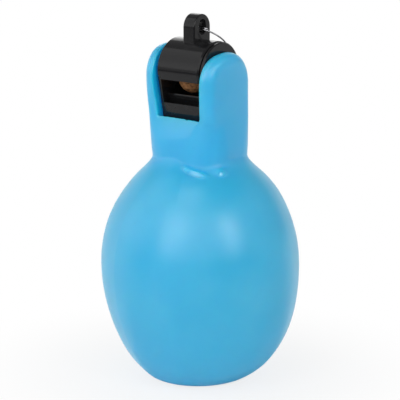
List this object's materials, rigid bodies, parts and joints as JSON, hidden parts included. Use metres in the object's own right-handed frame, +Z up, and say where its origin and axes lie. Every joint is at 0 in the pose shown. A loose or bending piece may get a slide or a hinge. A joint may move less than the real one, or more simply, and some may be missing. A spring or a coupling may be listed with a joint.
{
  "type": "squeeze-bulb hand whistle",
  "caption": "Soft blue hand-squeezed air bulb with a square neck and two ears that hold a black pea whistle, its loop carrying a wire ring.",
  "frame": {"origin": "middle of the bulb's flat foot, on the table", "axes": "+Z up through the bulb's neck and the whistle's loop, X along the whistle's barrel with its side plate at +X, -Y the side of the sound window"},
  "size_m": [0.0778, 0.0778, 0.1439],
  "materials": {
    "soft_blue_vinyl": "satin soft vinyl",
    "black_plastic": "half-gloss moulded plastic",
    "cork": "bare cork",
    "bright_steel": "bright drawn wire"
  },
  "bodies": {
    "bulb": {"squeeze_bulb": "soft_blue_vinyl"},
    "whistle": {"whistle_body": "black_plastic", "side_plate": "black_plastic"},
    "pea": {"cork_pea": "cork"},
    "ring": {"split_ring": "bright_steel"}
  },
  "joints": [
    {"name": "whistle_pull", "type": "slide", "parent": "bulb", "child": "whistle", "axis": [0, 0, 1], "range_m": [0, 0.048]},
    {"name": "pea_orbit", "type": "hinge", "parent": "whistle", "child": "pea", "pos_m": [0, -0.0015, 0.1221], "axis": [1, 0, 0], "continuous": true},
    {"name": "ring_swing", "type": "hinge", "parent": "whistle", "child": "ring", "pos_m": [0, -0.0015, 0.139], "axis": [1, 0, 0], "range_deg": [0, 258]}
  ]
}
